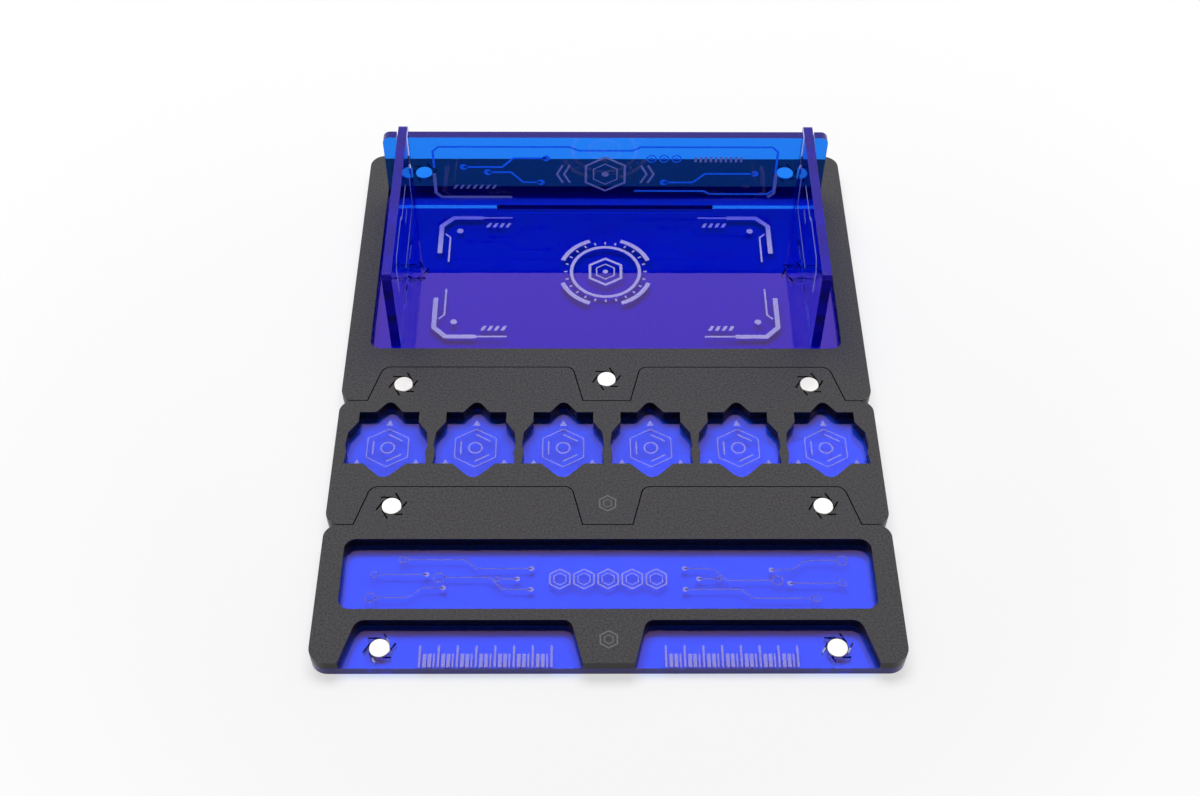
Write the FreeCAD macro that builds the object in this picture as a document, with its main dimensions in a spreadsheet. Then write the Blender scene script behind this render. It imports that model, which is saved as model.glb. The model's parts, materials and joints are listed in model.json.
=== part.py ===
"""Dice tray made of three flat modules that dock in a row.

Each module is a black top sheet cemented to a blue base sheet. From the rear:
a rolling tray with three upright walls, a holder with six dice pockets, and a
front tray. The tabs of one module lie in the notches of the module behind it,
where disc magnets hold them.

Millimetres, +Z up, +Y to the rear. The origin is on the table, under the middle
of the set.
"""
import FreeCAD, Part
import math
import os

import Sketcher
from FreeCAD import Vector

SIZES = {
    # sheets and outline
    "width": 165.0,               # every module, side to side
    "base_sheet": 3.0,            # blue sheet
    "top_sheet": 3.0,             # black sheet
    "wall_sheet": 3.0,            # upright blue sheets
    "rolling_depth": 111.5,
    "tray_depth": 45.5,
    "outer_corner": 5.0,          # radius at the four corners of the whole set
    "joint_corner": 4.2,          # radius where two modules meet
    # docking tabs and notches
    "dock_gap": 0.3,              # play between docked modules
    "tab_reach": 13.6,            # how far a tab stands out behind its module
    "tab_root_inset": 8.5,        # from the side edge to a tab, at the joint
    "tab_end_inset": 12.5,        # from the side edge to a tab, at its end
    "tab_corner": 3.0,
    "tongue_root_half": 10.5,     # half width of the centre tongue, at its root
    "tongue_end_half": 7.2,       # half width of the centre tongue, at the joint
    "tongue_corner": 2.5,
    # windows in the black sheets
    "side_rail": 7.2,
    "rear_rail": 14.0,
    "front_rail": 21.2,
    "window_corner": 3.4,
    "tray_side_rail": 6.5,
    "tray_rear_rail": 4.9,
    "tray_web": 3.6,              # between the tray's window and its notches
    # magnets
    "magnet_diameter": 6.0,
    "magnet_height": 3.0,
    "magnet_bevel": 0.2,
    "magnet_play": 0.05,          # round the magnet in its socket
    "magnet_inset": 19.0,         # from the side edge to each magnet
    "tongue_magnet_reach": 8.6,   # from the rolling tray's front to its own magnet
    "slit_width": 0.5,            # spring slits round each socket
    "slit_reach": 3.5,
    "slit_count": 6,
    "spare_play": 0.1,            # round the discs left in the spare sockets
    # walls
    "wall_height": 32.3,          # above the base sheet
    "rear_wall_end_gap": 1.3,     # from each end of the rear wall to the window's side
    "rear_wall_gap": 6.5,         # from the rear wall to the window's rear edge
    "rear_wall_cheek": 4.65,      # outside the notch for a side wall
    "rear_wall_corner": 2.5,
    "rear_foot_half": 37.5,       # half length of the foot in the base
    "side_wall_front_gap": 3.5,   # from the window's front edge to a side wall
    "side_wall_rear_gap": 2.8,    # from a side wall to the window's rear edge
    "side_wall_corner": 1.8,
    "side_foot_length": 9.0,      # each foot; a spare socket lies between the two
    "side_foot_clear": 2.95,      # from the spare socket to each foot
    "foot_play": 0.15,            # round a foot in its slot
    "foot_lift": 0.2,             # from a foot's end to the table
    "wall_seat": 0.05,            # air between a wall and the base that it stands on
    "rear_notch_play": 0.35,      # each side of a side wall in the rear wall's notch
    "side_notch_play": 0.2,       # each side of the rear wall in a side wall's notch
    "lap_play": 0.1,              # above and below the crossing's middle
    # dice pockets, from each pocket's own middle
    "pocket_front_rail": 2.3,     # from the holder's notches to a pocket
    "pocket_rear_rail": 13.1,     # from a pocket to the ends of the tabs
    "pocket_side_rail": 2.0,      # at least this much outside the last pocket
    "pocket_web": 1.75,           # between two pockets
    "pocket_tip_rear": 16.1,
    "pocket_tip_rear_round": 2.0,
    "pocket_tip_rear_half": 4.1,
    "pocket_square_half": 9.2,
    "pocket_square_rear": 11.2,
    "pocket_square_front": 7.4,
    "pocket_belly_half": 12.5,    # half the width of a pocket
    "pocket_belly": 1.6,
    "pocket_upper_step": 0.5,     # inside the belly, as are the next two
    "pocket_waist_step": 0.6,
    "pocket_foot_step": 0.1,
    "pocket_upper": 3.3,
    "pocket_waist": 4.2,
    "pocket_foot": 8.5,
    "pocket_tip_front_half": 6.5,
    "pocket_tip_front": 14.6,
    "pocket_tip_front_round": 3.0,
}


class Size:
    """A length together with the formula that binds it to the sheet."""

    def __init__(self, formula, value):
        self.formula = formula
        self.value = value

    def __add__(self, other):
        other = as_size(other)
        return Size("(%s + %s)" % (self.formula, other.formula), self.value + other.value)

    def __sub__(self, other):
        other = as_size(other)
        return Size("(%s - %s)" % (self.formula, other.formula), self.value - other.value)

    def __mul__(self, other):
        other = as_size(other)
        return Size("(%s * %s)" % (self.formula, other.formula), self.value * other.value)

    def __truediv__(self, other):
        other = as_size(other)
        return Size("(%s / %s)" % (self.formula, other.formula), self.value / other.value)

    def __neg__(self):
        return Size("(0 - %s)" % self.formula, -self.value)

    def whole(self):
        return Size("floor(%s)" % self.formula, math.floor(self.value))


def as_size(number):
    if isinstance(number, Size):
        return number
    return Size(repr(number), float(number))


class Sheet:
    """The driving sizes, in a spreadsheet, each under its own alias."""

    def __init__(self, document, sizes):
        sheet = document.addObject("Spreadsheet::Sheet", "Sizes")
        for row, (name, value) in enumerate(sizes.items(), start=1):
            sheet.set("A%d" % row, name)
            sheet.set("B%d" % row, str(value))
            sheet.setAlias("B%d" % row, name)
            setattr(self, name, Size("Sizes.%s" % name, float(value)))


doc = FreeCAD.newDocument("DiceTray")
s = Sheet(doc, SIZES)
doc.recompute()

# sizes that follow from the driving ones
half_width = s.width / 2
plate_height = s.base_sheet + s.top_sheet
holder_depth = s.pocket_front_rail + s.pocket_tip_front + s.pocket_tip_rear + s.pocket_rear_rail
set_depth = s.tray_depth + holder_depth + s.rolling_depth + s.dock_gap * 2
tray_front = -(set_depth / 2)
holder_front = tray_front + s.tray_depth + s.dock_gap
rolling_front = holder_front + holder_depth + s.dock_gap

# docking
tab_root_half = half_width - s.tab_root_inset
tab_end_half = half_width - s.tab_end_inset
socket_radius = s.magnet_diameter / 2 + s.magnet_play
magnet_span_half = half_width - s.magnet_inset
tab_magnet_reach = s.tab_reach / 2
rail_magnet_reach = s.rolling_depth - s.rear_rail / 2

# walls, measured from the centre line and from the rolling tray's front
half_sheet = s.wall_sheet / 2
half_wall = s.wall_height / 2
wall_foot = s.base_sheet + s.wall_seat
foot_drop = wall_foot - s.foot_lift
window_half = half_width - s.side_rail
window_rear = s.rolling_depth - s.rear_rail
rear_wall_half = window_half - s.rear_wall_end_gap
rear_wall_back = window_rear - s.rear_wall_gap
rear_wall_middle = rear_wall_back - half_sheet
rear_notch_half = half_sheet + s.rear_notch_play
side_wall_middle = rear_wall_half - s.rear_wall_cheek - rear_notch_half
side_wall_front = s.front_rail + s.side_wall_front_gap
side_wall_rear = window_rear - s.side_wall_rear_gap
field_middle = (side_wall_front + rear_wall_back) / 2
side_foot_offset = socket_radius + s.side_foot_clear + s.side_foot_length / 2

# pockets, in pairs about the centre line
pocket_middle = s.tab_reach + s.pocket_front_rail + s.pocket_tip_front
pocket_pitch = s.pocket_belly_half * 2 + s.pocket_web
pocket_room = half_width - s.pocket_side_rail - s.pocket_belly_half
pocket_count = (pocket_room / pocket_pitch + 0.5).whole() * 2

SUB_PARTS = []


def new_body(label, x=0, y=0, z=0):
    """A body with its own label and a placement bound to the sheet."""
    body = doc.addObject("PartDesign::Body", label)
    body.Label = label
    for axis, place in (("x", x), ("y", y), ("z", z)):
        body.setExpression("Placement.Base.%s" % axis, as_size(place).formula)
    SUB_PARTS.append(body)
    return body


def new_sketch(body, name, plane="XY_Plane", x=0, y=0, z=0):
    """A sketch on one of the body's own planes, shifted within it by x, y and z."""
    sketch = body.newObject("Sketcher::SketchObject", name)
    origin_plane = [one for one in body.Origin.OriginFeatures if one.Role == plane][0]
    sketch.AttachmentSupport = [(origin_plane, "")]
    sketch.MapMode = "FlatFace"
    for axis, shift in (("x", x), ("y", y), ("z", z)):
        sketch.setExpression("AttachmentOffset.Base.%s" % axis, as_size(shift).formula)
    return sketch


def bind(sketch, constraint, name, size):
    """Add a constraint whose value is the size, and bind it to the sheet."""
    index = sketch.addConstraint(constraint)
    sketch.renameConstraint(index, name)
    sketch.setExpression("Constraints.%s" % name, size.formula)


def corner_arc(before, corner, after, radius):
    """Both ends of the arc that rounds a corner, its middle, and which way it turns."""
    arriving = (corner - before).normalize()
    leaving = (after - corner).normalize()
    turn = arriving.x * leaving.y - arriving.y * leaving.x
    reach = radius * math.tan(arriving.getAngle(leaving) / 2)
    side = math.copysign(1.0, turn)
    first = corner - arriving * reach
    last = corner + leaving * reach
    middle = first + Vector(-arriving.y, arriving.x, 0) * (radius * side)
    return first, last, middle, turn > 0


def draw_outline(sketch, corners):
    """A closed outline through corners (x, y) or (x, y, radius), each bound to the sheet.

    A sharp corner is where two lines meet. A rounded one is a construction point that
    lies on both lines, and an arc tangent to them.
    """
    places = [Vector(as_size(one[0]).value, as_size(one[1]).value, 0) for one in corners]
    count = len(corners)
    rounds = []
    for index, one in enumerate(corners):
        if len(one) == 3:
            neighbours = places[index - 1], places[index], places[(index + 1) % count]
            rounds.append(corner_arc(*neighbours, as_size(one[2]).value))
        else:
            rounds.append(None)

    lines = []
    for index in range(count):
        following = (index + 1) % count
        start = rounds[index][1] if rounds[index] else places[index]
        end = rounds[following][0] if rounds[following] else places[following]
        lines.append(sketch.addGeometry(Part.LineSegment(start, end)))

    for index, one in enumerate(corners):
        arriving, leaving = lines[index - 1], lines[index]
        if rounds[index]:
            first, last, middle, left_turn = rounds[index]
            radius = as_size(one[2])
            circle = Part.Circle(middle, Vector(0, 0, 1), radius.value)
            ends = (first, last) if left_turn else (last, first)
            angles = [math.atan2(end.y - middle.y, end.x - middle.x) for end in ends]
            arc = sketch.addGeometry(Part.ArcOfCircle(circle, *angles))
            point = sketch.addGeometry(Part.Point(places[index]), True)
            arc_in, arc_out = (1, 2) if left_turn else (2, 1)
            sketch.addConstraint(Sketcher.Constraint("PointOnObject", point, 1, arriving))
            sketch.addConstraint(Sketcher.Constraint("PointOnObject", point, 1, leaving))
            sketch.addConstraint(Sketcher.Constraint("Tangent", arriving, 2, arc, arc_in))
            sketch.addConstraint(Sketcher.Constraint("Tangent", arc, arc_out, leaving, 1))
            bind(sketch, Sketcher.Constraint("Radius", arc, radius.value),
                 "round%d" % index, radius)
            held = (point, 1)
        else:
            sketch.addConstraint(Sketcher.Constraint("Coincident", arriving, 2, leaving, 1))
            held = (leaving, 1)
        x, y = as_size(one[0]), as_size(one[1])
        bind(sketch, Sketcher.Constraint("DistanceX", -1, 1, *held, x.value),
             "x%d" % index, x)
        bind(sketch, Sketcher.Constraint("DistanceY", -1, 1, *held, y.value),
             "y%d" % index, y)


def draw_circle(sketch, radius):
    """A circle round the sketch's own origin."""
    circle = sketch.addGeometry(Part.Circle(Vector(0, 0, 0), Vector(0, 0, 1), radius.value))
    sketch.addConstraint(Sketcher.Constraint("Coincident", circle, 3, -1, 1))
    bind(sketch, Sketcher.Constraint("Radius", circle, radius.value), "radius", radius)


def pad(body, sketch, name, length, midplane=False):
    feature = body.newObject("PartDesign::Pad", name)
    feature.Profile = sketch
    feature.Midplane = midplane
    feature.setExpression("Length", length.formula)
    doc.recompute()
    return feature


def cut_through(body, sketch, name):
    """A pocket that goes down through the whole sheet from its top face."""
    before = body.Shape.Volume
    feature = body.newObject("PartDesign::Pocket", name)
    feature.Profile = sketch
    feature.Type = "ThroughAll"
    doc.recompute()
    if not body.Shape.Volume < before:
        raise RuntimeError("%s cuts nothing out of %s" % (name, body.Label))
    return feature


def repeat(body, kind, name, original, settings, formulas):
    """A pattern of one feature, as the body's new tip."""
    before = body.Shape.Volume
    feature = body.newObject(kind, name)
    feature.Originals = [original]
    for key, value in settings.items():
        setattr(feature, key, value)
    for key, size in formulas.items():
        feature.setExpression(key, size.formula)
    body.Tip = feature
    doc.recompute()
    if not body.Shape.Volume < before:
        raise RuntimeError("%s changes nothing in %s" % (name, body.Label))
    return feature


def mirrored(half):
    """The corners of a half outline, on the other side of the centre line."""
    return [(-as_size(one[0]), *one[1:]) for one in reversed(half)]


def cut_socket(body, name, thickness, x, y):
    """A magnet socket: a round hole with slits that leave it tangent, as springs."""
    hole = new_sketch(body, name + "_hole", x=x, y=y, z=thickness)
    draw_circle(hole, socket_radius)
    cut_through(body, hole, name + "_bore")

    slit = new_sketch(body, name + "_slit", x=x, y=y, z=thickness)
    near = socket_radius - s.slit_width / 2
    far = near + s.slit_width
    draw_outline(slit, [
        (0, near),
        (0, far),
        (-s.slit_reach, far),
        (-s.slit_reach, near),
    ])
    cut = cut_through(body, slit, name + "_cut")
    repeat(body, "PartDesign::PolarPattern", name + "_springs", cut,
           {"Axis": (slit, ["N_Axis"]), "Angle": 360.0, "Occurrences": int(s.slit_count.value)},
           {"Occurrences": s.slit_count})


def cut_slot(body, name, thickness, half_x, half_y, x, y):
    """A square-cornered slot, for the foot of a wall."""
    sketch = new_sketch(body, name + "_outline", x=x, y=y, z=thickness)
    draw_outline(sketch, [
        (half_x, -half_y),
        (half_x, half_y),
        (-half_x, half_y),
        (-half_x, -half_y),
    ])
    cut_through(body, sketch, name)


def cut_window(body, thickness, half_x, front, rear):
    """A window with rounded corners, from front to rear of the sheet's own frame."""
    sketch = new_sketch(body, body.Label + "_window_outline", z=thickness)
    draw_outline(sketch, [
        (half_x, front, s.window_corner),
        (half_x, rear, s.window_corner),
        (-half_x, rear, s.window_corner),
        (-half_x, front, s.window_corner),
    ])
    cut_through(body, sketch, body.Label + "_window")


def tab_side():
    """The rear edge of a module with tabs, from the right side to the centre line."""
    return [
        (tab_root_half, 0),
        (tab_end_half, s.tab_reach, s.tab_corner),
        (s.tongue_root_half + s.dock_gap, s.tab_reach, s.tongue_corner),
        (s.tongue_end_half + s.dock_gap, 0),
    ]


def notch_side():
    """The front edge of a module with notches, from the centre line to the right side."""
    return [
        (s.tongue_end_half, 0),
        (s.tongue_root_half, s.tab_reach, s.tongue_corner + s.dock_gap),
        (tab_end_half + s.dock_gap, s.tab_reach, s.tab_corner + s.dock_gap),
        (tab_root_half + s.dock_gap, 0),
    ]


def base_sheet(label, front, depth, front_corner, rear_corner):
    """A plain base sheet with rounded corners, on the table."""
    body = new_body(label, y=front)
    sketch = new_sketch(body, label + "_outline")
    half = [
        (half_width, 0, front_corner),
        (half_width, depth, rear_corner),
    ]
    draw_outline(sketch, half + mirrored(half))
    pad(body, sketch, label + "_sheet", s.base_sheet)
    return body


def top_sheet(label, front, depth, front_corner, rear_corner, has_tabs):
    """A top sheet on its base, notched in front, with tabs at the rear if it has them."""
    body = new_body(label, y=front, z=s.base_sheet)
    sketch = new_sketch(body, label + "_outline")
    half = notch_side() + [
        (half_width, 0, front_corner),
        (half_width, depth, rear_corner),
    ]
    if has_tabs:
        for corner in tab_side():
            half.append((corner[0], depth + corner[1], *corner[2:]))
    draw_outline(sketch, half + mirrored(half))
    pad(body, sketch, label + "_sheet", s.top_sheet)
    return body


def make_rolling_base():
    body = base_sheet("rolling_base", rolling_front, s.rolling_depth,
                      s.joint_corner, s.outer_corner)
    slot_half = half_sheet + s.foot_play
    cut_slot(body, "rear_wall_slot", s.base_sheet, s.rear_foot_half + s.foot_play, slot_half,
             0, rear_wall_middle)
    for side, sign in (("left", -1), ("right", 1)):
        for place, step in (("front", -1), ("rear", 1)):
            cut_slot(body, "%s_wall_%s_slot" % (side, place), s.base_sheet, slot_half,
                     s.side_foot_length / 2 + s.foot_play, side_wall_middle * sign,
                     field_middle + side_foot_offset * step)
        cut_socket(body, side + "_dock_socket", s.base_sheet, magnet_span_half * sign,
                   tab_magnet_reach - s.dock_gap)
        cut_socket(body, side + "_spare_socket", s.base_sheet, magnet_span_half * sign,
                   field_middle)


def make_rolling_frame():
    body = top_sheet("rolling_frame", rolling_front, s.rolling_depth,
                     s.joint_corner, s.outer_corner, has_tabs=False)
    cut_window(body, s.top_sheet, window_half, s.front_rail, window_rear)
    cut_socket(body, "tongue_socket", s.top_sheet, 0, s.tongue_magnet_reach)
    for side, sign in (("left", -1), ("right", 1)):
        cut_socket(body, side + "_rail_socket", s.top_sheet, magnet_span_half * sign,
                   rail_magnet_reach)


def make_rear_wall():
    """The rear wall, with a long foot for the base and notches for the side walls."""
    body = new_body("rear_wall", y=rolling_front + rear_wall_middle, z=wall_foot)
    sketch = new_sketch(body, "rear_wall_outline", plane="XZ_Plane")
    notch_floor = half_wall - s.lap_play
    half = [
        (s.rear_foot_half, -foot_drop),
        (s.rear_foot_half, 0),
        (rear_wall_half, 0),
        (rear_wall_half, s.wall_height, s.rear_wall_corner),
        (side_wall_middle + rear_notch_half, s.wall_height),
        (side_wall_middle + rear_notch_half, notch_floor),
        (side_wall_middle - rear_notch_half, notch_floor),
        (side_wall_middle - rear_notch_half, s.wall_height),
    ]
    draw_outline(sketch, half + mirrored(half))
    pad(body, sketch, "rear_wall_sheet", s.wall_sheet, midplane=True)


def side_foot(step):
    """The four corners of one foot under a side wall."""
    middle = field_middle + side_foot_offset * step
    front = middle - s.side_foot_length / 2
    rear = middle + s.side_foot_length / 2
    return [
        (front, 0),
        (front, -foot_drop),
        (rear, -foot_drop),
        (rear, 0),
    ]


def make_side_wall(label, sign):
    """A side wall that drops over the rear wall, with two short feet for the base."""
    body = new_body(label, x=side_wall_middle * sign, y=rolling_front, z=wall_foot)
    sketch = new_sketch(body, label + "_outline", plane="YZ_Plane")
    notch_half = half_sheet + s.side_notch_play
    notch_roof = half_wall + s.lap_play
    draw_outline(sketch, [(side_wall_front, 0)] + side_foot(-1) + side_foot(1) + [
        (rear_wall_middle - notch_half, 0),
        (rear_wall_middle - notch_half, notch_roof),
        (rear_wall_middle + notch_half, notch_roof),
        (rear_wall_middle + notch_half, 0),
        (side_wall_rear, 0),
        (side_wall_rear, s.wall_height, s.side_wall_corner),
        (side_wall_front, s.wall_height, s.side_wall_corner),
    ])
    pad(body, sketch, label + "_sheet", s.wall_sheet, midplane=True)


def make_holder_base():
    body = base_sheet("holder_base", holder_front, holder_depth,
                      s.joint_corner, s.joint_corner)
    for side, sign in (("left", -1), ("right", 1)):
        cut_socket(body, side + "_dock_socket", s.base_sheet, magnet_span_half * sign,
                   tab_magnet_reach - s.dock_gap)


def pocket_outline():
    """The outlines of all the dice laid over each other, from a pocket's own middle."""
    half = [
        (s.pocket_tip_front_half, -s.pocket_foot),
        (s.pocket_belly_half - s.pocket_foot_step, -s.pocket_foot),
        (s.pocket_belly_half - s.pocket_waist_step, -s.pocket_waist),
        (s.pocket_belly_half, -s.pocket_belly),
        (s.pocket_belly_half - s.pocket_upper_step, s.pocket_upper),
        (s.pocket_square_half, s.pocket_square_front),
        (s.pocket_square_half, s.pocket_square_rear),
        (s.pocket_tip_rear_half, s.pocket_square_rear),
    ]
    rear_tip = (0, s.pocket_tip_rear, s.pocket_tip_rear_round)
    front_tip = (0, -s.pocket_tip_front, s.pocket_tip_front_round)
    return half + [rear_tip] + mirrored(half) + [front_tip]


def make_holder_frame():
    body = top_sheet("holder_frame", holder_front, holder_depth,
                     s.joint_corner, s.joint_corner, has_tabs=True)
    for side, sign in (("left", -1), ("right", 1)):
        cut_socket(body, side + "_tab_socket", s.top_sheet, magnet_span_half * sign,
                   holder_depth + tab_magnet_reach)

    pocket_span = pocket_pitch * (pocket_count - 1)
    sketch = new_sketch(body, "pocket_outline", x=-(pocket_span / 2), y=pocket_middle,
                        z=s.top_sheet)
    draw_outline(sketch, pocket_outline())
    pocket = cut_through(body, sketch, "first_pocket")
    repeat(body, "PartDesign::LinearPattern", "pockets", pocket,
           {"Direction": (sketch, ["H_Axis"])},
           {"Length": pocket_span, "Occurrences": pocket_count})


def make_tray_base():
    body = base_sheet("tray_base", tray_front, s.tray_depth, s.outer_corner, s.joint_corner)
    for side, sign in (("left", -1), ("right", 1)):
        cut_socket(body, side + "_dock_socket", s.base_sheet, magnet_span_half * sign,
                   tab_magnet_reach - s.dock_gap)


def make_tray_frame():
    body = top_sheet("tray_frame", tray_front, s.tray_depth,
                     s.outer_corner, s.joint_corner, has_tabs=True)
    cut_window(body, s.top_sheet, half_width - s.tray_side_rail, s.tab_reach + s.tray_web,
               s.tray_depth - s.tray_rear_rail)
    for side, sign in (("left", -1), ("right", 1)):
        cut_socket(body, side + "_tab_socket", s.top_sheet, magnet_span_half * sign,
                   s.tray_depth + tab_magnet_reach)


def rim_names(shape):
    """The names of a disc's two round edges."""
    names = []
    for index, edge in enumerate(shape.Edges, start=1):
        if edge.Closed and isinstance(edge.Curve, Part.Circle):
            names.append("Edge%d" % index)
    return names


def make_disc(label, radius, height, x, y, z):
    """A plain disc, standing on z."""
    body = new_body(label, x=x, y=y, z=z)
    sketch = new_sketch(body, label + "_outline")
    draw_circle(sketch, radius)
    return body, pad(body, sketch, label + "_blank", height)


def make_magnet(label, x, y, on_base):
    """A disc magnet with bevelled rims, flush with the top of the sheet that holds it."""
    top = plate_height if on_base else s.base_sheet
    body, blank = make_disc(label, s.magnet_diameter / 2, s.magnet_height,
                            x, y, top - s.magnet_height)
    rims = body.newObject("PartDesign::Chamfer", label + "_bevel")
    rims.Base = (blank, rim_names(blank.Shape))
    rims.setExpression("Size", s.magnet_bevel.formula)
    doc.recompute()


def make_magnets():
    make_magnet("tongue_magnet", 0, rolling_front + s.tongue_magnet_reach, on_base=True)
    for side, sign in (("left", -1), ("right", 1)):
        x = magnet_span_half * sign
        make_magnet("rail_magnet_" + side, x, rolling_front + rail_magnet_reach, on_base=True)
        for module, front in (("rolling", rolling_front), ("holder", holder_front),
                              ("tray", tray_front)):
            dock_y = front + tab_magnet_reach - s.dock_gap
            make_magnet("%s_dock_magnet_%s" % (module, side), x, dock_y, on_base=False)
        for module, rear in (("holder", holder_front + holder_depth),
                             ("tray", tray_front + s.tray_depth)):
            tab_y = rear + tab_magnet_reach
            make_magnet("%s_tab_magnet_%s" % (module, side), x, tab_y, on_base=True)
        make_disc("spare_socket_disc_" + side, socket_radius - s.spare_play, s.base_sheet,
                  x, rolling_front + field_middle, 0)


def check_document():
    """Stop if any object failed, or if a sub-part is not one valid solid."""
    for thing in doc.Objects:
        if "Invalid" in thing.State or "Error" in thing.State:
            raise RuntimeError("%s did not build: %s" % (thing.Name, thing.State))
    for body in SUB_PARTS:
        shape = body.Shape
        if shape.isNull() or not shape.isValid() or len(shape.Solids) != 1:
            raise RuntimeError("%s is not one valid solid" % body.Label)


def export_sub_parts():
    os.makedirs("parts", exist_ok=True)
    for body in SUB_PARTS:
        body.Shape.exportStep(os.path.join("parts", body.Label + ".step"))


make_rolling_base()
make_rolling_frame()
make_rear_wall()
make_side_wall("left_wall", -1)
make_side_wall("right_wall", 1)
make_holder_base()
make_holder_frame()
make_tray_base()
make_tray_frame()
make_magnets()
doc.recompute()
check_document()
export_sub_parts()

for body in SUB_PARTS:
    box = body.Shape.BoundBox
    print("%-26s %8.1f mm3  x %7.2f %7.2f  y %7.2f %7.2f  z %6.2f %6.2f"
          % (body.Label, body.Shape.Volume, box.XMin, box.XMax, box.YMin, box.YMax,
             box.ZMin, box.ZMax))
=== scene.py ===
"""Looks of the dice tray: clear blue acrylic, matt charcoal acrylic, nickel magnets, engraving."""
import json
import math

import bmesh
import bpy
from mathutils import Matrix, Vector


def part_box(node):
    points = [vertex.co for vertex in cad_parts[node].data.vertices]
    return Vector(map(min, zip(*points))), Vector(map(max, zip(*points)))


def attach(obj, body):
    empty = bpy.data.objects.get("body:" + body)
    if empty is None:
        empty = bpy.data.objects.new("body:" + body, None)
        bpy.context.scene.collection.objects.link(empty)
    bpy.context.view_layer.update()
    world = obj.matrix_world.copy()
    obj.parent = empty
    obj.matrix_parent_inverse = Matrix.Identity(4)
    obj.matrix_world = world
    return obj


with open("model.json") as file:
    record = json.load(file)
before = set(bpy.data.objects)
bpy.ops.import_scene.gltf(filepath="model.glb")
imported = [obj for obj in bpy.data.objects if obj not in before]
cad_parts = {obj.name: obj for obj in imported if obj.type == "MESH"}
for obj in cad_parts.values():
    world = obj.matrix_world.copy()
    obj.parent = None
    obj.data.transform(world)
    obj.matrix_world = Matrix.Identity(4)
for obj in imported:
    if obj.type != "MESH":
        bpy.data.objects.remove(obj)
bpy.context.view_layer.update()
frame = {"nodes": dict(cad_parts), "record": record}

MM = 0.001

# camera, as it stood for the photograph
CAMERA_PLACE = Vector((-5.62, -312.45, 380.78)) * MM
CAMERA_PITCH = math.radians(50.98)          # down from the horizon
CAMERA_YAW = math.radians(0.668)            # to the right of straight ahead
CAMERA_ROLL = math.radians(0.549)
SENSOR_WIDTH = 36.0
LENS = 46.59

# studio: a light tent, a lamp and a table, in metres
TENT_AS_MIRRORED = 0.25, 1.4                # brightness in front and behind, in a polished face
TENT_AS_LIGHT = 0.12, 0.45                  # the same, as it falls on the object
LAMP_PLACE = Vector((-0.05, 0.34, 0.88))
LAMP_SIZE = 0.8, 0.45
LAMP_POWER = 6.9                            # watts
TABLE_REACH = 3.0                           # from its middle to its edges
TABLE_DROP = 0.15 * MM                      # it lies this far under the object
TABLE_FADE = 0.12, 0.26                     # from its middle to where it fades, and has faded
TABLE_WHITE = 0.6, 1.0                      # share that is plain white and no shadow, at these

# blue acrylic
SHEET = 3.0                                 # thickness, millimetres
THROUGH_WALL = "#2e8cfc"                    # what one sheet lets pass: the walls
THROUGH_PALE_BASE = "#2e8eee"               # the same, under the holder and the front tray
THROUGH_DEEP_BASE_AND_SHADE = "#0830cc"               # the same, of the rolling base: partly a stronger dye, and partly painted shade of the walls that stand round its field

# surface patterns as they are drawn, millimetres
STRIATION = 0.4                             # across the cut edges
SMUDGE = 18.0                               # on the polished faces
CHARCOAL_GRAIN = 0.6
HANDLING_MARK = 1.2                         # on the magnets
SCAN_LINE = 0.3                             # of the engraving

# engraving, millimetres
LIFT = 0.03                                 # the engraved marks lie this far off the sheet
BROAD_LINE = 1.6
SECTOR_LINE = 1.5
BOLD_LINE = 1.1
MEDIUM_LINE = 0.75
LINE = 0.45
TRACE = 0.38
HAIRLINE = 0.3
ARC_STEP = 6.0                              # degrees
DOT_CORNERS = 14
SHARPEST_MITRE = 0.4                        # cosine of half the turn, past which it grows no more

# sockets of a Mix node for colours, which share their names with those for numbers
FACTOR, LOW, HIGH = 0, 6, 7
BLENDED = 2


def linear(code):
    """An sRGB hex colour as the linear RGBA that the shaders take."""
    channels = [int(code[place:place + 2], 16) / 255 for place in (1, 3, 5)]
    return [one / 12.92 if one <= 0.04045 else ((one + 0.055) / 1.055) ** 2.4
            for one in channels] + [1.0]


def add(tree, kind, inputs=(), **settings):
    """A node with its settings. Each input is a value or another node's output."""
    made = tree.nodes.new(kind)
    for name, value in settings.items():
        setattr(made, name, value)
    for socket, value in dict(inputs).items():
        if isinstance(value, bpy.types.NodeSocket):
            tree.links.new(value, made.inputs[socket])
        else:
            made.inputs[socket].default_value = value
    return made


def new_material(name):
    """An empty material, its node tree and its output node."""
    material = bpy.data.materials.new(name)
    material.use_nodes = True
    tree = material.node_tree
    tree.nodes.clear()
    return material, tree, add(tree, "ShaderNodeOutputMaterial")


def scale_of(size):
    """The scale of a texture on Object coordinates whose pattern repeats in so many mm."""
    return 1 / (size * MM)


def cut_edge_mask(tree, across):
    """1 on the cut edges of a sheet, 0 on its two faces, which look along across."""
    place = add(tree, "ShaderNodeTexCoord")
    along = add(tree, "ShaderNodeVectorMath", {0: place.outputs["Normal"], 1: across},
                operation="DOT_PRODUCT")
    size = add(tree, "ShaderNodeMath", {0: along.outputs["Value"]}, operation="ABSOLUTE")
    mask = add(tree, "ShaderNodeMath", {0: size.outputs[0], 1: 0.5}, operation="LESS_THAN")
    return place.outputs["Object"], mask.outputs[0]


def striations(tree, place, across):
    """The beam's fine lines on a cut edge, which run straight through the sheet.

    They are about 0.1 mm apart, drawn at 0.4 mm so that they show.
    """
    along = [1.0 - abs(one) for one in across]
    squeeze = add(tree, "ShaderNodeMapping", {"Vector": place, "Scale": along},
                  vector_type="POINT")
    return add(tree, "ShaderNodeTexNoise",
               {"Vector": squeeze.outputs[0], "Scale": scale_of(STRIATION), "Detail": 1.0})


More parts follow.
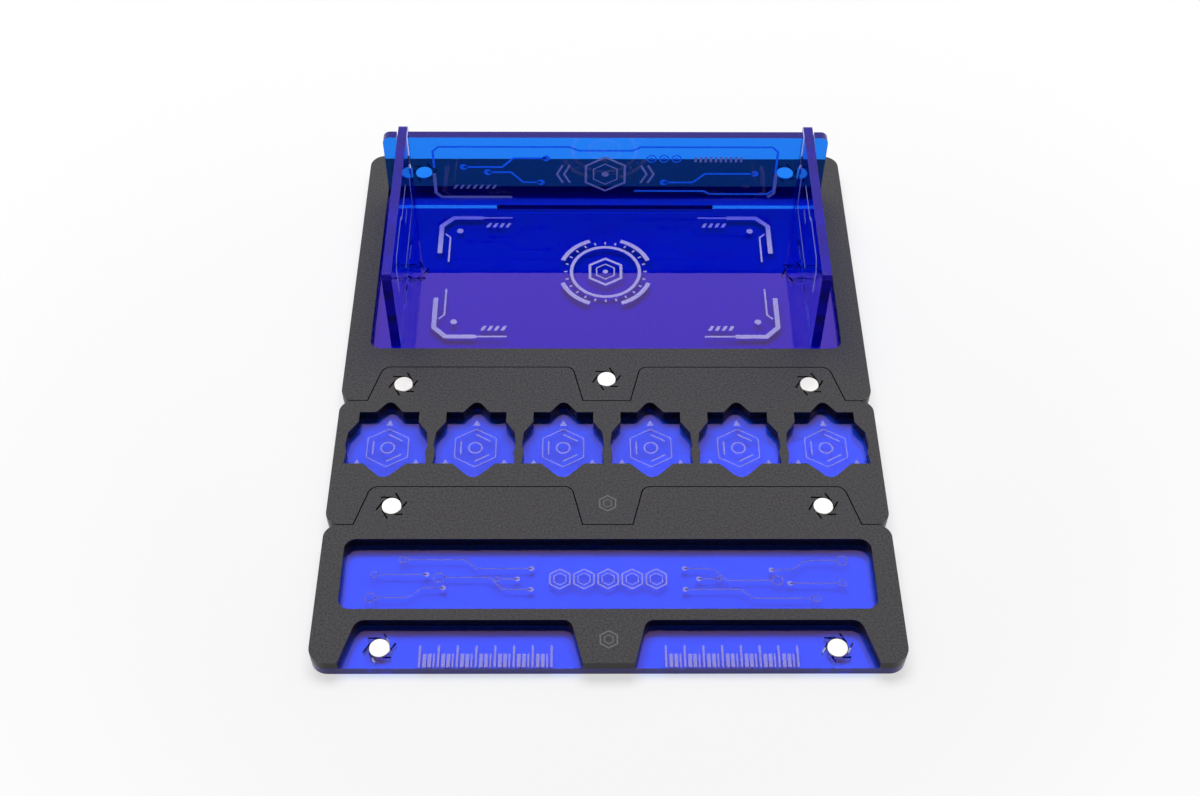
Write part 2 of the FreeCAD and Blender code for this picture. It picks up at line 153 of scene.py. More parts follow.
def clear_blue_acrylic(name, across, through):
    """Cast acrylic dyed deep blue: polished faces and glossy, finely striated cut edges.

    The dye takes light by depth, so a face looks bright blue and an edge nearly black. The
    colour through is what one sheet lets pass. Lamps shine through the sheet, so the table
    under it stays bright and lights it.
    """
    material, tree, output = new_material(name)
    place, mask = cut_edge_mask(tree, across)
    lines = striations(tree, place, across)
    smudge = add(tree, "ShaderNodeTexNoise",
                 {"Vector": place, "Scale": scale_of(SMUDGE), "Detail": 3.0})
    colour = add(tree, "ShaderNodeMix",
                 {FACTOR: mask, LOW: linear("#ffffff"), HIGH: linear("#2a1cc0")},
                 data_type="RGBA")
    mirrored = add(tree, "ShaderNodeMix",
                   {FACTOR: mask, LOW: linear("#ffbeff"), HIGH: linear("#a08ac4")},
                   data_type="RGBA")
    clear = add(tree, "ShaderNodeMapRange", {"Value": mask, "To Min": 1.0, "To Max": 0.65})
    gloss = add(tree, "ShaderNodeMapRange",
                {"Value": smudge.outputs[0], "From Min": 0.35, "From Max": 0.75,
                 "To Min": 0.0, "To Max": 0.03})
    rough = add(tree, "ShaderNodeMapRange",
                {"Value": mask, "To Min": gloss.outputs[0], "To Max": 0.16})
    ridges = add(tree, "ShaderNodeMath", {0: lines.outputs[0], 1: mask},
                 operation="MULTIPLY")
    bump = add(tree, "ShaderNodeBump",
               {"Height": ridges.outputs[0], "Strength": 0.3, "Distance": 0.08 * MM})
    surface = add(tree, "ShaderNodeBsdfPrincipled",
                  {"Base Color": colour.outputs[BLENDED], "Roughness": rough.outputs[0],
                   "IOR": 1.55, "Specular Tint": mirrored.outputs[BLENDED],
                   "Transmission Weight": clear.outputs[0], "Normal": bump.outputs[0]})
    ray = add(tree, "ShaderNodeLightPath")
    film = add(tree, "ShaderNodeBsdfTransparent", {"Color": linear("#f5f7ff")})
    mix = add(tree, "ShaderNodeMixShader",
              {0: ray.outputs["Is Shadow Ray"], 1: surface.outputs[0], 2: film.outputs[0]})
    tree.links.new(mix.outputs[0], output.inputs["Surface"])
    taken = [-math.log(one) / (SHEET * MM) for one in linear(through)[:3]]
    density = max(taken) * 1.05         # a little over the most, so no channel of dye is black
    dye = add(tree, "ShaderNodeVolumeAbsorption",
              {"Color": [1 - one / density for one in taken] + [1.0], "Density": density})
    tree.links.new(dye.outputs[0], output.inputs["Volume"])
    return material


def matt_charcoal_acrylic():
    """Opaque black acrylic with a matt, finely grained face and darker, glossier cut edges.

    The grain is about 0.1 mm, drawn at 0.6 mm so that it shows.
    """
    across = (0.0, 0.0, 1.0)
    material, tree, output = new_material("matt_charcoal_acrylic")
    place, mask = cut_edge_mask(tree, across)
    grain = add(tree, "ShaderNodeTexNoise",
                {"Vector": place, "Scale": scale_of(CHARCOAL_GRAIN), "Detail": 2.0})
    spread = add(tree, "ShaderNodeMapRange",
                 {"Value": grain.outputs[0], "From Min": 0.32, "From Max": 0.68})
    lines = striations(tree, place, across)
    face = add(tree, "ShaderNodeMix",
               {FACTOR: spread.outputs[0], LOW: linear("#29282a"), HIGH: linear("#4a484b")},
               data_type="RGBA")
    edge = add(tree, "ShaderNodeMix",
               {FACTOR: lines.outputs[0], LOW: linear("#0b0b0d"), HIGH: linear("#1d1c1f")},
               data_type="RGBA")
    colour = add(tree, "ShaderNodeMix",
                 {FACTOR: mask, LOW: face.outputs[BLENDED], HIGH: edge.outputs[BLENDED]},
                 data_type="RGBA")
    rough = add(tree, "ShaderNodeMapRange", {"Value": mask, "To Min": 0.62, "To Max": 0.35})
    mirrored = add(tree, "ShaderNodeMix",
                   {FACTOR: mask, LOW: linear("#f0f0f0"), HIGH: linear("#6e6c70")},
                   data_type="RGBA")
    bump = add(tree, "ShaderNodeBump",
               {"Height": grain.outputs[0], "Strength": 0.25, "Distance": 0.05 * MM})
    surface = add(tree, "ShaderNodeBsdfPrincipled",
                  {"Base Color": colour.outputs[BLENDED], "Roughness": rough.outputs[0],
                   "Specular Tint": mirrored.outputs[BLENDED], "Normal": bump.outputs[0]})
    tree.links.new(surface.outputs[0], output.inputs["Surface"])
    return material


def nickel_plate():
    """Bright nickel plating on a ground magnet: nearly a mirror, with faint handling marks."""
    material, tree, output = new_material("nickel_plate")
    place = add(tree, "ShaderNodeTexCoord")
    marks = add(tree, "ShaderNodeTexNoise",
                {"Vector": place.outputs["Object"], "Scale": scale_of(HANDLING_MARK),
                 "Detail": 4.0})
    rough = add(tree, "ShaderNodeMapRange",
                {"Value": marks.outputs[0], "From Min": 0.3, "From Max": 0.7,
                 "To Min": 0.36, "To Max": 0.44})
    colour = add(tree, "ShaderNodeMix",
                 {FACTOR: marks.outputs[0], LOW: linear("#e6e4e0"), HIGH: linear("#f4f2ee")},
                 data_type="RGBA")
    surface = add(tree, "ShaderNodeBsdfPrincipled",
                  {"Base Color": colour.outputs[BLENDED], "Roughness": rough.outputs[0],
                   "Metallic": 1.0})
    tree.links.new(surface.outputs[0], output.inputs["Surface"])
    return material


def laser_engraving(name, dark, pale, behind):
    """Frosted marks where the beam roughened the sheet, line by line.

    The share behind of their light comes through the sheet from its other side.
    The lines are about 0.1 mm apart, drawn at 0.3 mm so that they show.
    """
    material, tree, output = new_material(name)
    place = add(tree, "ShaderNodeTexCoord")
    lines = add(tree, "ShaderNodeTexNoise",
                {"Vector": place.outputs["Object"], "Scale": scale_of(SCAN_LINE),
                 "Detail": 1.0})
    spread = add(tree, "ShaderNodeMapRange",
                 {"Value": lines.outputs[0], "From Min": 0.35, "From Max": 0.65})
    colour = add(tree, "ShaderNodeMix",
                 {FACTOR: spread.outputs[0], LOW: linear(dark), HIGH: linear(pale)},
                 data_type="RGBA").outputs[BLENDED]
    front = add(tree, "ShaderNodeBsdfPrincipled", {"Base Color": colour, "Roughness": 0.75})
    through = add(tree, "ShaderNodeBsdfTranslucent", {"Color": colour})
    mix = add(tree, "ShaderNodeMixShader",
              {0: behind, 1: front.outputs[0], 2: through.outputs[0]})
    tree.links.new(mix.outputs[0], output.inputs["Surface"])
    return material


def dress_nodes():
    """Give every CAD node the material of its sheet, by the way the sheet faces."""
    pale = clear_blue_acrylic("clear_blue_acrylic", (0.0, 0.0, 1.0), THROUGH_PALE_BASE)
    # the rolling base lets less pass partly through its stronger dye and partly as painted shade
    # of the walls round the field
    deep = clear_blue_acrylic("deep_blue_acrylic_and_painted_shade", (0.0, 0.0, 1.0), THROUGH_DEEP_BASE_AND_SHADE)
    rear = clear_blue_acrylic("clear_blue_acrylic_rear_wall", (0.0, 1.0, 0.0), THROUGH_WALL)
    side = clear_blue_acrylic("clear_blue_acrylic_side_walls", (1.0, 0.0, 0.0), THROUGH_WALL)
    charcoal = matt_charcoal_acrylic()
    nickel = nickel_plate()
    finishes = {"rear_wall": rear, "left_wall": side, "right_wall": side,
                "rolling_base": deep, "spare_socket_disc_left": deep,
                "spare_socket_disc_right": deep}
    for name, node in frame["nodes"].items():
        if name.endswith("_frame"):
            finish = charcoal
        elif "magnet" in name:
            finish = nickel
        else:
            finish = finishes.get(name, pale)
        node.data.materials.clear()
        node.data.materials.append(finish)


def round_places(middle, radius, turns):
    """The places on a circle at the turns, which are in degrees."""
    return [(middle[0] + radius * math.cos(math.radians(turn)),
             middle[1] + radius * math.sin(math.radians(turn))) for turn in turns]


class Drawing:
    """Flat marks drawn in millimetres on one face of a sheet, then laid on it."""

    def __init__(self, name, material):
        self.name = name
        self.material = material
        self.mesh = bmesh.new()

    def polygon(self, corners):
        made = [self.mesh.verts.new((x, y, 0)) for x, y in corners]
        self.mesh.faces.new(made)

    def line(self, corners, width, closed=False):
        """A line of one width with mitred corners."""
        places = [Vector(one) for one in corners]
        count = len(places)
        sides = []
        for index, here in enumerate(places):
            inner = closed or 0 < index < count - 1
            before = places[index - 1] if inner or index else None
            after = places[(index + 1) % count] if inner or not index else None
            arriving = (here - before).normalized() if before else None
            leaving = (after - here).normalized() if after else arriving
            arriving = arriving or leaving
            normal = Vector((-arriving.y, arriving.x))
            across = (normal + Vector((-leaving.y, leaving.x))).normalized()
            reach = across * (width / 2 / max(across.dot(normal), SHARPEST_MITRE))
            sides.append([self.mesh.verts.new((*place, 0))
                          for place in (here - reach, here + reach)])
        for index in range(count if closed else count - 1):
            right, left = sides[index]
            next_right, next_left = sides[(index + 1) % count]
            self.mesh.faces.new((right, next_right, next_left, left))

    def arc(self, middle, radius, width, start=0.0, end=360.0):
        """An arc from start to end in degrees, or a whole ring."""
        whole = abs(end - start) >= 360
        steps = max(3, round(abs(end - start) / ARC_STEP))
        turns = [start + (end - start) * step / steps
                 for step in range(steps if whole else steps + 1)]
        self.line(round_places(middle, radius, turns), width, closed=whole)

    def dot(self, middle, radius):
        turns = [360 * step / DOT_CORNERS for step in range(DOT_CORNERS)]
        self.polygon(round_places(middle, radius, turns))

    def hexagon(self, middle, radius, width):
        """The outline of a hexagon that stands on a corner."""
        self.line(round_places(middle, radius, range(90, 450, 60)), width, closed=True)

    def merge(self, other, move=(0.0, 0.0)):
        """Take in another drawing, moved."""
        flat = other.as_mesh()
        start = len(self.mesh.verts)
        self.mesh.from_mesh(flat)
        self.mesh.verts.ensure_lookup_table()
        bmesh.ops.translate(self.mesh, vec=(*move, 0), verts=self.mesh.verts[start:])
        bpy.data.meshes.remove(flat)

    def as_mesh(self):
        flat = bpy.data.meshes.new(self.name)
        self.mesh.to_mesh(flat)
        return flat

    def lay(self, plane, body, slot="blue_acrylic"):
        """Lay the drawing on a plane of the frame, as a piece that rides on a body."""
        self.mesh.transform(plane @ Matrix.Scale(MM, 4))
        bmesh.ops.recalc_face_normals(self.mesh, faces=self.mesh.faces)
        outward = plane.to_3x3() @ Vector((0, 0, 1))
        for face in self.mesh.faces:
            if face.normal.dot(outward) < 0:
                face.normal_flip()
        piece = bpy.data.objects.new(self.name, self.as_mesh())
        piece.data.materials.append(self.material)
        bpy.context.scene.collection.objects.link(piece)
        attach(piece, body)


def repeat_tree(name, ring):
    """A geometry node tree that repeats a motif in a row, or round a ring, about its middle."""
    tree = bpy.data.node_groups.new(name, "GeometryNodeTree")
    face = tree.interface
    face.new_socket("Motif", in_out="INPUT", socket_type="NodeSocketGeometry")
    face.new_socket("Count", in_out="INPUT", socket_type="NodeSocketInt")
    face.new_socket("Radius" if ring else "Pitch", in_out="INPUT",
                    socket_type="NodeSocketFloat")
    face.new_socket("Finish", in_out="INPUT", socket_type="NodeSocketMaterial")
    face.new_socket("Marks", in_out="OUTPUT", socket_type="NodeSocketGeometry")
    given = add(tree, "NodeGroupInput")
    motif, count, size, finish = given.outputs[:4]
    if ring:
        points = add(tree, "GeometryNodeMeshCircle", {"Vertices": count, "Radius": size})
        index = add(tree, "GeometryNodeInputIndex")
        step = add(tree, "ShaderNodeMath", {0: math.tau, 1: count}, operation="DIVIDE")
        turn = add(tree, "ShaderNodeMath", {0: index.outputs[0], 1: step.outputs[0]},
                   operation="MULTIPLY")
        aim = add(tree, "ShaderNodeCombineXYZ", {"Z": turn.outputs[0]})
        copies = add(tree, "GeometryNodeInstanceOnPoints",
                     {"Points": points.outputs[0], "Instance": motif,
                      "Rotation": aim.outputs[0]})
    else:
        gaps = add(tree, "ShaderNodeMath", {0: count, 1: 1.0}, operation="SUBTRACT")
        span = add(tree, "ShaderNodeMath", {0: gaps.outputs[0], 1: size},
                   operation="MULTIPLY")
        start = add(tree, "ShaderNodeMath", {0: span.outputs[0], 1: -0.5},
                    operation="MULTIPLY")
        first = add(tree, "ShaderNodeCombineXYZ", {"X": start.outputs[0]})
        step = add(tree, "ShaderNodeCombineXYZ", {"X": size})
        points = add(tree, "GeometryNodeMeshLine",
                     {"Count": count, "Start Location": first.outputs[0],
                      "Offset": step.outputs[0]}, mode="OFFSET")
        copies = add(tree, "GeometryNodeInstanceOnPoints",
                     {"Points": points.outputs[0], "Instance": motif})
    real = add(tree, "GeometryNodeRealizeInstances", {0: copies.outputs[0]})
    painted = add(tree, "GeometryNodeSetMaterial",
                  {"Geometry": real.outputs[0], "Material": finish})
    add(tree, "NodeGroupOutput", {0: painted.outputs[0]})
    return tree


ROW = repeat_tree("repeat_in_a_row", ring=False)
RING = repeat_tree("repeat_round_a_ring", ring=True)


def repeated(name, motif, tree, count, size):
    """The motif repeated by a tree, at that pitch or radius, as a drawing of its own."""
    flat = motif.as_mesh()
    carrier = bpy.data.objects.new(motif.name, flat)
    bpy.context.scene.collection.objects.link(carrier)
    modifier = carrier.modifiers.new("repeat", "NODES")
    modifier.node_group = tree
    wanted = {"Count": count, "Radius": size, "Pitch": size, "Finish": motif.material}
    for socket in tree.interface.items_tree:
        if socket.in_out == "INPUT" and socket.name in wanted:
            modifier[socket.identifier] = wanted[socket.name]
    graph = bpy.context.evaluated_depsgraph_get()
    graph.update()
    result = bpy.data.meshes.new_from_object(carrier.evaluated_get(graph), depsgraph=graph)
    made = Drawing(name, motif.material)
    made.mesh.from_mesh(result)
    bpy.data.objects.remove(carrier)
    bpy.data.meshes.remove(flat)
    bpy.data.meshes.remove(result)
    return made


def bars(material, count, pitch, width, low, high, slant=0.0):
    """A row of upright or slanted bars from low to high."""
    bar = Drawing("bar", material)
    lean = (high - low) * slant
    bar.polygon([(-width / 2, low), (width / 2, low),
                 (width / 2 + lean, high), (-width / 2 + lean, high)])
    return repeated("bars", bar, ROW, count, pitch)


def ring_of_ticks(material, count, radius, width, length):
    """Ticks that point outwards, about the middle."""
    tick = Drawing("tick", material)
    tick.polygon([(-length / 2, -width / 2), (length / 2, -width / 2),
                  (length / 2, width / 2), (-length / 2, width / 2)])
    return repeated("ring_of_ticks", tick, RING, count, radius)


def plane_at(origin, across, up):
    """A drawing plane, just off the sheet, that looks along across x up."""
    across, up = Vector(across), Vector(up)
    out = across.cross(up)
    place = Vector(origin) + out * LIFT * MM
    return Matrix((
        (across.x, up.x, out.x, place.x),
        (across.y, up.y, out.y, place.y),
        (across.z, up.z, out.z, place.z),
        (0, 0, 0, 1),
    ))


def engrave_rolling_base(finish):
    """Stepped corner marks and a dial of ticks in the middle of the rolling field."""
    art = Drawing("rolling_base_engraving", finish)
    half_width, front, rear = 56.0, -29.0, 25.5
    for x_side in (-1, 1):
        for y_side in (-1, 1):
            corner = Vector((half_width * x_side, rear if y_side > 0 else front))

            def near(x, y):
                return (corner.x - x * x_side, corner.y - y * y_side)

            art.line([near(0, 17), near(0, 4), near(4, 0), near(14, 0)], BROAD_LINE)
            art.line([near(14, 0), near(24, 0)], LINE * 1.5)
            art.line([near(3.2, 21), near(3.2, 9.5), near(1.4, 7.7)], LINE * 1.3)
            art.dot(near(6.4, 6.4), 1.1)
            row = bars(finish, count=4, pitch=2.2, width=1.1, low=-1.0, high=1.0, slant=0.5)
            art.merge(row, near(19, 3.6))
    centre = (0, 0)
    core, inner_hexagon, outer_hexagon, ring, ticks, sectors = 0.9, 3.4, 6.0, 11.4, 13.3, 15.2
    art.arc(centre, ring, BOLD_LINE)
    for start in (20, 110, 200, 290):
        art.arc(centre, sectors, SECTOR_LINE, start, start + 50)
    art.merge(ring_of_ticks(finish, count=24, radius=ticks, width=LINE * 1.3, length=1.1))
    art.hexagon(centre, outer_hexagon, BOLD_LINE * 0.8)
    art.hexagon(centre, inner_hexagon, LINE)
    art.dot(centre, core)
    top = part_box("rolling_base")[1].z
    left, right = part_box("spare_socket_disc_left"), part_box("spare_socket_disc_right")
    middle = (left[0] + right[1]) / 2
    art.lay(plane_at((middle.x, middle.y, top), (1, 0, 0), (0, 1, 0)), "rolling_tray")


def engrave_rear_wall(fine, broad):
    """A frame, traces and rings on the rear face, and a frosted target and bars in front."""
    low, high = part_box("rear_wall")
    base_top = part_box("rolling_base")[1].z
    height = (high.z - base_top) / MM
    edge_x, margin = 58.0, 5.5
    floor, roof = margin, height - margin
    high_row, low_row = roof - 5.0, floor + 5.4
    middle = (0.0, (floor + roof) / 2)

    art = Drawing("rear_wall_engraving", fine)
    art.line([(-edge_x, floor + 6), (-edge_x, roof - 2), (-edge_x + 2, roof),
              (-12, roof), (-9, roof - 1.6), (9, roof - 1.6), (12, roof),
              (edge_x - 2, roof), (edge_x, roof - 2), (edge_x, floor + 12)], MEDIUM_LINE)
    art.line([(-edge_x, floor + 6), (-edge_x, floor + 2), (-edge_x + 2, floor),
              (-edge_x + 22, floor), (-edge_x + 24, floor + 1.4), (-10, floor + 1.4)],
             MEDIUM_LINE)
    traces = (
        [(20, high_row), (31, high_row), (35, high_row - 4), (48, high_row - 4)],
        [(22, low_row), (28, low_row), (32, low_row + 4.6), (40, low_row + 4.6)],
        [(-20, low_row), (-30, low_row), (-34, low_row + 4), (-51, low_row + 4)],
    )
    for trace in traces:
        art.line(trace, MEDIUM_LINE)
        for end in (trace[0], trace[-1]):
            art.dot(end, 1.3)
    for step in range(3):
        spot = (-24.0 + 4.2 * step, high_row - 0.2)
        art.arc(spot, 1.5, LINE)
        art.dot(spot, 0.5)
    art.lay(plane_at((0, high.y, base_top), (-1, 0, 0), (0, 0, 1)), "rear_wall")

    bold = Drawing("rear_wall_frosting", broad)
    bold.hexagon(middle, 7.6, MEDIUM_LINE)
    bold.hexagon(middle, 4.6, LINE)
    bold.dot(middle, 1.2)
    for side in (-1, 1):
        for step in (0, 1):
            x = side * (12.0 + 2.4 * step)
            bold.line([(x, middle[1] - 4), (x + 2 * side, middle[1]), (x, middle[1] + 4)],
                      MEDIUM_LINE)
    for side in (-1, 1):
        bold.line([(side * edge_x, floor + 11), (side * edge_x, floor + 2),
                   (side * (edge_x - 2), floor)], BOLD_LINE)
    bold.line([(-edge_x + 2, floor), (-edge_x + 26, floor)], BOLD_LINE)
    upright = bars(broad, count=10, pitch=1.7, width=0.8, low=-1.2, high=1.2)
    bold.merge(upright, (38, high_row + 1))
    slanted = bars(broad, count=7, pitch=2.2, width=0.9, low=-0.9, high=0.9, slant=0.6)
    bold.merge(slanted, (-45, low_row - 0.6))
    bold.lay(plane_at((0, low.y, base_top), (1, 0, 0), (0, 0, 1)), "rear_wall")


def engrave_side_wall(finish, name, side):
    """A broken outline with a clipped corner and three small bars, on the inner face."""
    low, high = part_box(name)
    base_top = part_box("rolling_base")[1].z
    art = Drawing(name + "_engraving", finish)
    height = (high.z - base_top) / MM
    front, rear, margin = -24.0, 24.0, 6.0
    roof, floor = height - margin, margin
    lintel = [(front, floor + 8), (front, roof - 3), (front + 3, roof), (-4, roof),
              (-1, roof - 2), (14, roof - 2)]
    sill = [(rear, roof - 8), (rear, floor + 2), (rear - 2, floor), (-6, floor)]
    for outline in (lintel, sill):
        art.line([(x * -side, y) for x, y in outline], BOLD_LINE)
    row = bars(finish, count=3, pitch=2.0, width=0.8, low=-1.2, high=1.2)
    art.merge(row, (8 * -side, height / 2))
    x = high.x if side < 0 else low.x
    middle = (low.y + high.y) / 2
    art.lay(plane_at((x, middle, base_top), (0, -side, 0), (0, 0, 1)), name)


def row_of_pockets():
    """How many dice pockets the holder has, and their pitch in millimetres."""
    boxes = [one["box_m"] for one in frame["record"]["physics"]["openings"]
             if one["name"].startswith("dice_pocket_")]
    middles = [(low[0] + high[0]) / 2 for low, high in boxes]
    return len(middles), (max(middles) - min(middles)) / (len(middles) - 1) / MM


def engrave_pockets(finish):
    """A hexagon round a broken one, a ring and three triangles on each pocket's floor."""
    centre = (0, 0)
    ring, broken, whole = 2.0, 5.1, 7.2
    mark = Drawing("pocket_mark", finish)
    mark.hexagon(centre, whole, HAIRLINE)
    for start in (30, 150, 270):
        mark.line(round_places(centre, broken, (start, start + 60)), LINE)
    mark.arc(centre, ring, LINE)
    for x, y, size in ((0.0, 9.6, 1.1), (-8.9, -5.2, 0.85), (8.9, -5.2, 0.85)):
        mark.polygon([(x - size, y - size), (x + size, y - size), (x, y + size)])
    count, pitch = row_of_pockets()
    art = repeated("pocket_engraving", mark, ROW, count, pitch)
    front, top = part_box("holder_frame")[0].y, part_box("holder_base")[1].z
    from_front = 30.15 * MM
    art.lay(plane_at((0, front + from_front, top), (1, 0, 0), (0, 1, 0)), "dice_holder")


def engrave_front_tray(fine, broad):
    """Traces from both ends to a strip of hexagons, and scales on the floors of the notches."""
    cell = Drawing("cell", broad)
    cell.hexagon((0, 0), 3.3, LINE)
    cell.hexagon((0, 0), 2.0, HAIRLINE)
    strip = repeated("cell_strip_engraving", cell, ROW, count=5, size=6.9)
    art = Drawing("front_tray_engraving", fine)
    pads = Drawing("front_tray_pads", broad)
    traces = (
        ([(22, 3.5), (30, 3.5), (34, -0.5), (47, -0.5)], 1.5),
        ([(22, -3.5), (38, -3.5), (41, -6.5), (58, -6.5)], 1.1),
        ([(26, 0), (31, 0)], 0.7),
        ([(47, 3), (53, 3), (57, 6.2), (66, 6.2)], 1.5),
        ([(52, -1.5), (66, -1.5)], 1.0),
    )
    for side in (-1, 1):
        for trace, radius in traces:
            if side < 0:
                trace = [(x, -y) for x, y in trace]
            places = [(x * side, y) for x, y in trace]
            art.line(places, TRACE)
            pads.dot(places[0], 0.8)
            art.arc((places[-1][0] + radius * side, places[-1][1]), radius, TRACE)
    front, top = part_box("tray_frame")[0].y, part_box("tray_base")[1].z
    window_middle = 28.9 * MM
    plane = plane_at((0, front + window_middle, top), (1, 0, 0), (0, 1, 0))
    for drawing in (art, pads, strip):
        drawing.lay(plane, "front_tray")

    scale = Drawing("notch_scale_engraving", broad)
    pitch, foot, tall, short = 5.2, 0.4, 7.2, 4.6
    for side in (-1, 1):
        middle = 34.0 * side
        scale.merge(bars(broad, 8, pitch, 0.6, foot, tall), (middle, 0))
        for shift, width in ((-1.2, 1.0), (0.2, 1.0), (1.4, 0.5)):
            scale.merge(bars(broad, 7, pitch, width, foot, short), (middle + shift, 0))
    scale.lay(plane_at((0, front, top), (1, 0, 0), (0, 1, 0)), "front_tray")


def mark_tongues(finish):
    """A small double hexagon on the holder's and the front tray's centre tongue."""
    from_front = 7.4 * MM
    for node, body in (("holder_frame", "dice_holder"), ("tray_frame", "front_tray")):
        low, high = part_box(node)
        art = Drawing(body + "_tongue_mark", finish)
        art.hexagon((0, 0), 2.7, LINE)
        art.hexagon((0, 0), 1.4, HAIRLINE)
        art.lay(plane_at((0, low.y + from_front, high.z), (1, 0, 0), (0, 1, 0)), body,
                slot="charcoal_acrylic")


def reflected_ray(tree, ray):
    """1 for a ray mirrored by a surface, 0 for one that goes through it."""
    return add(tree, "ShaderNodeMath", {0: ray.outputs["Is Glossy Ray"],
                                        1: ray.outputs["Is Transmission Ray"]},
               operation="SUBTRACT", use_clamp=True).outputs[0]


def white_table():
    """A white table that keeps a faint shadow and fades into the white background.

    Seen through a sheet it has only the light that falls on it, so shadows under rims are deep.
    """
    material, tree, output = new_material("white_table")
    lit = add(tree, "ShaderNodeBsdfDiffuse", {"Color": linear("#fbfbfb")})
    glow = add(tree, "ShaderNodeEmission", {"Color": linear("#ffffff"), "Strength": 1.0})
    ray = add(tree, "ShaderNodeLightPath")
    mirrored = reflected_ray(tree, ray)
    seen = add(tree, "ShaderNodeMath", {0: ray.outputs["Is Camera Ray"], 1: mirrored},
               operation="ADD")
    place = add(tree, "ShaderNodeTexCoord")
    away = add(tree, "ShaderNodeVectorMath", {0: place.outputs["Object"]}, operation="LENGTH")
    fading = add(tree, "ShaderNodeMapRange",
                 {"Value": away.outputs["Value"],
                  "From Min": TABLE_FADE[0], "From Max": TABLE_FADE[1],
                  "To Min": TABLE_WHITE[0], "To Max": TABLE_WHITE[1]},
                 interpolation_type="SMOOTHSTEP")
    share = add(tree, "ShaderNodeMath", {0: seen.outputs[0], 1: fading.outputs["Result"]},
                operation="MULTIPLY")
    mix = add(tree, "ShaderNodeMixShader",
              {0: share.outputs[0], 1: lit.outputs[0], 2: glow.outputs[0]})
    tree.links.new(mix.outputs[0], output.inputs["Surface"])
    mesh = bpy.data.meshes.new("table")
    corners = [(x * TABLE_REACH, y * TABLE_REACH, -TABLE_DROP)
               for x, y in ((-1, -1), (1, -1), (1, 1), (-1, 1))]
    mesh.from_pydata(corners, [], [(0, 1, 2, 3)])
    mesh.materials.append(material)
    table = bpy.data.objects.new("table", mesh)
    bpy.context.scene.collection.objects.link(table)


def light_the_studio():
    """A light tent, brighter behind the object than in front, and a broad soft lamp above."""
    world = bpy.data.worlds.new("studio")
    bpy.context.scene.world = world
    world.use_nodes = True
    tree = world.node_tree
    tree.nodes.clear()
    ray = add(tree, "ShaderNodeLightPath")
    way = add(tree, "ShaderNodeTexCoord")
    along = add(tree, "ShaderNodeSeparateXYZ", {0: way.outputs["Generated"]})
    mirrored = add(tree, "ShaderNodeMapRange",
                   {"Value": along.outputs["Y"], "From Min": -0.4, "From Max": 0.1,
                    "To Min": TENT_AS_MIRRORED[0], "To Max": TENT_AS_MIRRORED[1]})
    seen = add(tree, "ShaderNodeMath", {0: ray.outputs["Is Camera Ray"],
                                        1: ray.outputs["Is Transmission Ray"]},
               operation="ADD", use_clamp=True)
    falling = add(tree, "ShaderNodeMapRange",
                  {"Value": along.outputs["Y"], "From Min": -0.7, "From Max": 0.5,
                   "To Min": TENT_AS_LIGHT[0], "To Max": TENT_AS_LIGHT[1]})
    plain = add(tree, "ShaderNodeMix", {0: seen.outputs[0], 2: falling.outputs[0], 3: 1.0})
    either = add(tree, "ShaderNodeMix", {0: reflected_ray(tree, ray),
                                         2: plain.outputs[0], 3: mirrored.outputs[0]})
    # lamps already reach the table through the sheets, so its light isn't counted twice
    bounced = add(tree, "ShaderNodeMath", {0: ray.outputs["Diffuse Depth"],
                                           1: ray.outputs["Is Transmission Ray"]},
                  operation="MULTIPLY", use_clamp=True)
    strength = add(tree, "ShaderNodeMix", {0: bounced.outputs[0], 2: either.outputs[0],
                                           3: 0.0})
    sky = add(tree, "ShaderNodeBackground",
              {"Color": linear("#ffffff"), "Strength": strength.outputs[0]})
    add(tree, "ShaderNodeOutputWorld", {"Surface": sky.outputs[0]})

    lamp = bpy.data.lights.new("overhead", "AREA")
    lamp.shape = "RECTANGLE"
    lamp.size, lamp.size_y = LAMP_SIZE
    lamp.energy = LAMP_POWER
    overhead = bpy.data.objects.new("overhead", lamp)
    overhead.visible_glossy = False
    overhead.location = LAMP_PLACE
    overhead.rotation_euler = (-LAMP_PLACE).to_track_quat("-Z", "Y").to_euler()
    bpy.context.scene.collection.objects.link(overhead)


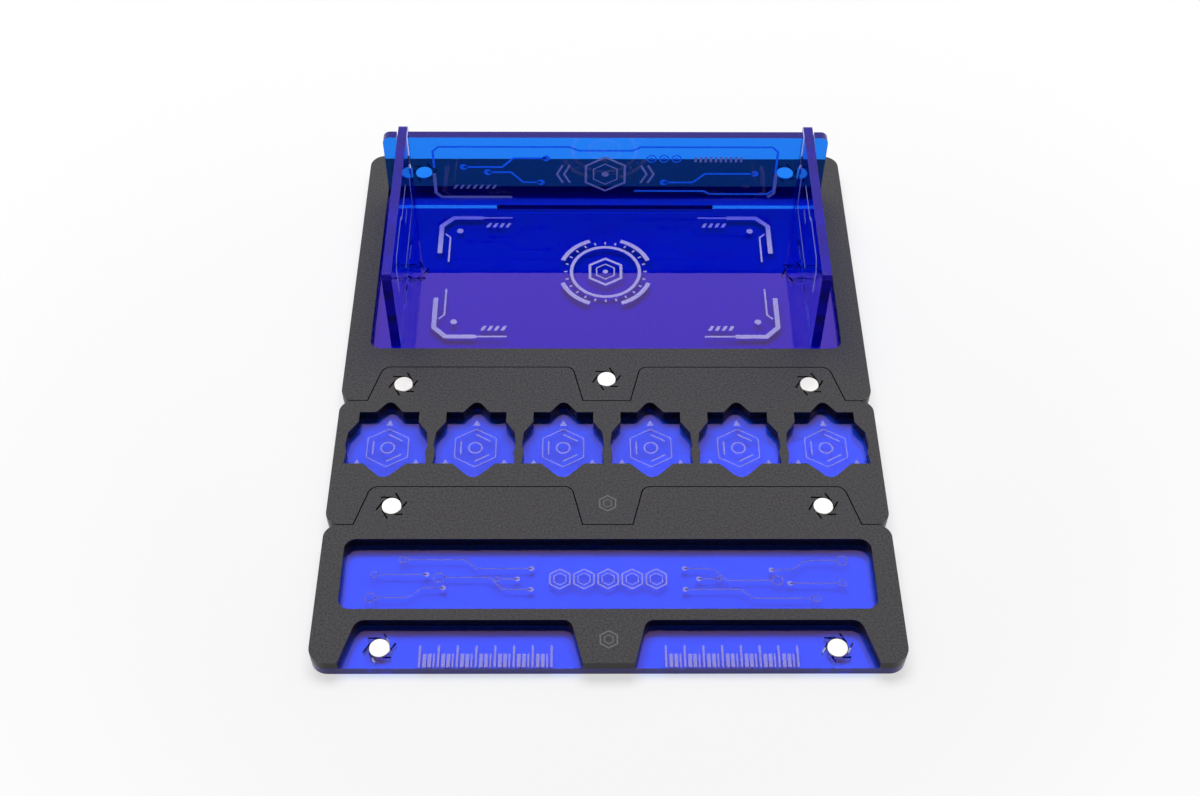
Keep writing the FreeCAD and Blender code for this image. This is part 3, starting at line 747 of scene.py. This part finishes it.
def place_camera():
    """The camera of the photograph, from its place, pitch, yaw and roll."""
    ahead = Vector((math.sin(CAMERA_YAW) * math.cos(CAMERA_PITCH),
                    math.cos(CAMERA_YAW) * math.cos(CAMERA_PITCH),
                    -math.sin(CAMERA_PITCH)))
    level = Vector((math.cos(CAMERA_YAW), -math.sin(CAMERA_YAW), 0))
    upright = level.cross(ahead)
    right = level * math.cos(CAMERA_ROLL) + upright * math.sin(CAMERA_ROLL)
    up = upright * math.cos(CAMERA_ROLL) - level * math.sin(CAMERA_ROLL)
    data = bpy.data.cameras.new("photograph")
    data.sensor_width = SENSOR_WIDTH
    data.sensor_fit = "HORIZONTAL"
    data.lens = LENS
    data.clip_start = 0.01
    camera = bpy.data.objects.new("photograph", data)
    camera.matrix_world = Matrix((
        (right.x, up.x, -ahead.x, CAMERA_PLACE.x),
        (right.y, up.y, -ahead.y, CAMERA_PLACE.y),
        (right.z, up.z, -ahead.z, CAMERA_PLACE.z),
        (0, 0, 0, 1),
    ))
    bpy.context.scene.collection.objects.link(camera)
    bpy.context.scene.camera = camera


bpy.context.scene.view_settings.view_transform = "Standard"
dress_nodes()
frosted = laser_engraving("laser_engraved_acrylic", "#8f86dc", "#cfc8fa", behind=0.1)
lit_through = laser_engraving("laser_engraved_walls", "#7c8cec", "#bcc6ff", behind=0.75)
frosted_wall = laser_engraving("laser_frosted_wall", "#cac6ff", "#f2f0ff", behind=0.2)
scored = laser_engraving("laser_scored_acrylic", "#8a88ee", "#bcb8ff", behind=0.2)
traced = laser_engraving("laser_traced_acrylic", "#4644a8", "#a29ce6", behind=0.2)
etched = laser_engraving("laser_etched_charcoal", "#5c5b5c", "#7c7b7c", behind=0.0)
engrave_rolling_base(frosted)
engrave_rear_wall(lit_through, frosted_wall)
engrave_side_wall(frosted_wall, "left_wall", -1)
engrave_side_wall(frosted_wall, "right_wall", 1)
engrave_pockets(scored)
engrave_front_tray(traced, scored)
mark_tongues(etched)
white_table()
light_the_studio()
place_camera()
